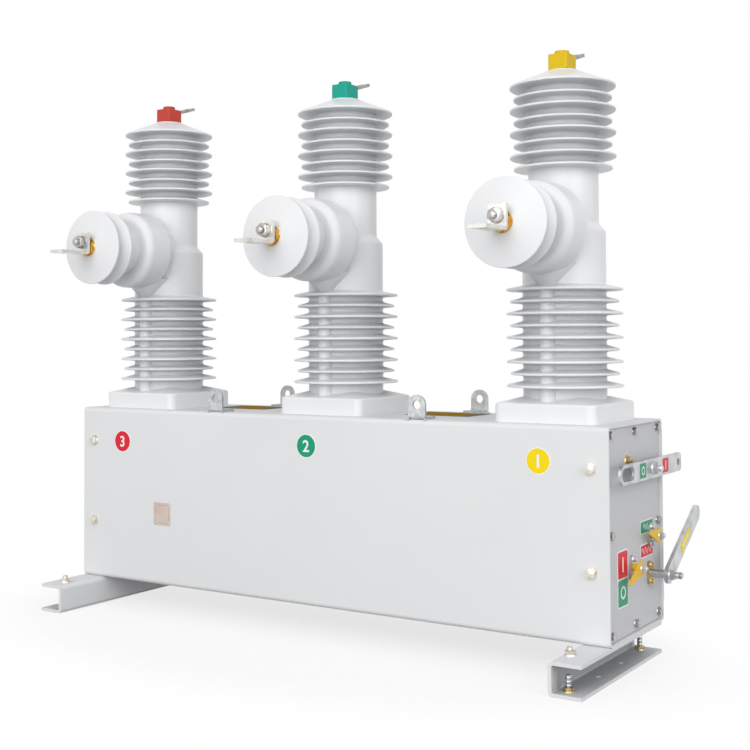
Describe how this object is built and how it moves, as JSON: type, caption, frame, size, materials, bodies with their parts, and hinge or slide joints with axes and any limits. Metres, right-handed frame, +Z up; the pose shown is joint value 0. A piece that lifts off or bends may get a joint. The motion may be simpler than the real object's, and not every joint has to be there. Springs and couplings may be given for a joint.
{
  "type": "outdoor vacuum circuit breaker",
  "caption": "Pole-mounted outdoor vacuum circuit breaker: ribbed resin poles with side bushings on a steel tank, with a hook lever, charging handle and indicator pointers.",
  "frame": {"origin": "on the underside of the feet, midway between their four free bolt holes", "axes": "+X towards the mechanism end, -Y towards the side terminals, +Z up"},
  "size_m": [0.9995, 0.4458, 0.872],
  "materials": {
    "tank_paint": "satin",
    "plate_paint": "satin",
    "foot_paint": "satin",
    "epoxy": "semi-gloss",
    "tinned_copper": "matt",
    "brass": "satin",
    "zinc_steel": "satin",
    "yellow_zinc": "satin",
    "cap_red": "satin",
    "cap_green": "satin",
    "cap_yellow": "satin",
    "pointer_yellow": "satin"
  },
  "bodies": {
    "breaker": {"right_foot_channel": "foot_paint", "left_foot_channel": "foot_paint", "tank_shell": "tank_paint", "rear_cover": "tank_paint", "left_end_plate": "plate_paint", "right_end_plate": "plate_paint", "left_pole": "epoxy", "left_top_terminal": "tinned_copper", "left_phase_cap": "cap_red", "left_side_stud": "brass", "left_side_terminal": "tinned_copper", "middle_pole": "epoxy", "middle_top_terminal": "tinned_copper", "middle_phase_cap": "cap_green", "middle_side_stud": "brass", "middle_side_terminal": "tinned_copper", "right_pole": "epoxy", "right_top_terminal": "tinned_copper", "right_phase_cap": "cap_yellow", "right_side_stud": "brass", "right_side_terminal": "tinned_copper", "left_front_lug": "zinc_steel", "left_rear_lug": "zinc_steel", "right_front_lug": "zinc_steel", "right_rear_lug": "zinc_steel", "handle_bearing": "yellow_zinc", "position_bearing": "yellow_zinc", "spring_bearing": "yellow_zinc"},
    "lever": {"lever_shaft": "zinc_steel", "operating_lever": "zinc_steel"},
    "handle": {"handle_shaft": "zinc_steel", "charging_handle": "zinc_steel"},
    "position_indicator": {"position_pointer": "pointer_yellow"},
    "spring_indicator": {"spring_pointer": "pointer_yellow"}
  },
  "joints": [
    {"name": "operating_lever_turn", "type": "hinge", "parent": "breaker", "child": "lever", "pos_m": [0.498, 0.0765, 0.271], "axis": [1, 0, 0], "range_deg": [-20, 20]},
    {"name": "charging_handle_swing", "type": "hinge", "parent": "breaker", "child": "handle", "pos_m": [0.5085, 0.1045, 0.12], "axis": [1, 0, 0], "range_deg": [-60, 45]},
    {"name": "position_pointer_turn", "type": "hinge", "parent": "breaker", "child": "position_indicator", "pos_m": [0.495, 0.0375, 0.138], "axis": [-1, 0, 0], "range_deg": [0, 40]},
    {"name": "spring_pointer_turn", "type": "hinge", "parent": "breaker", "child": "spring_indicator", "pos_m": [0.495, 0.1075, 0.173], "axis": [1, 0, 0], "range_deg": [0, 30]}
  ]
}
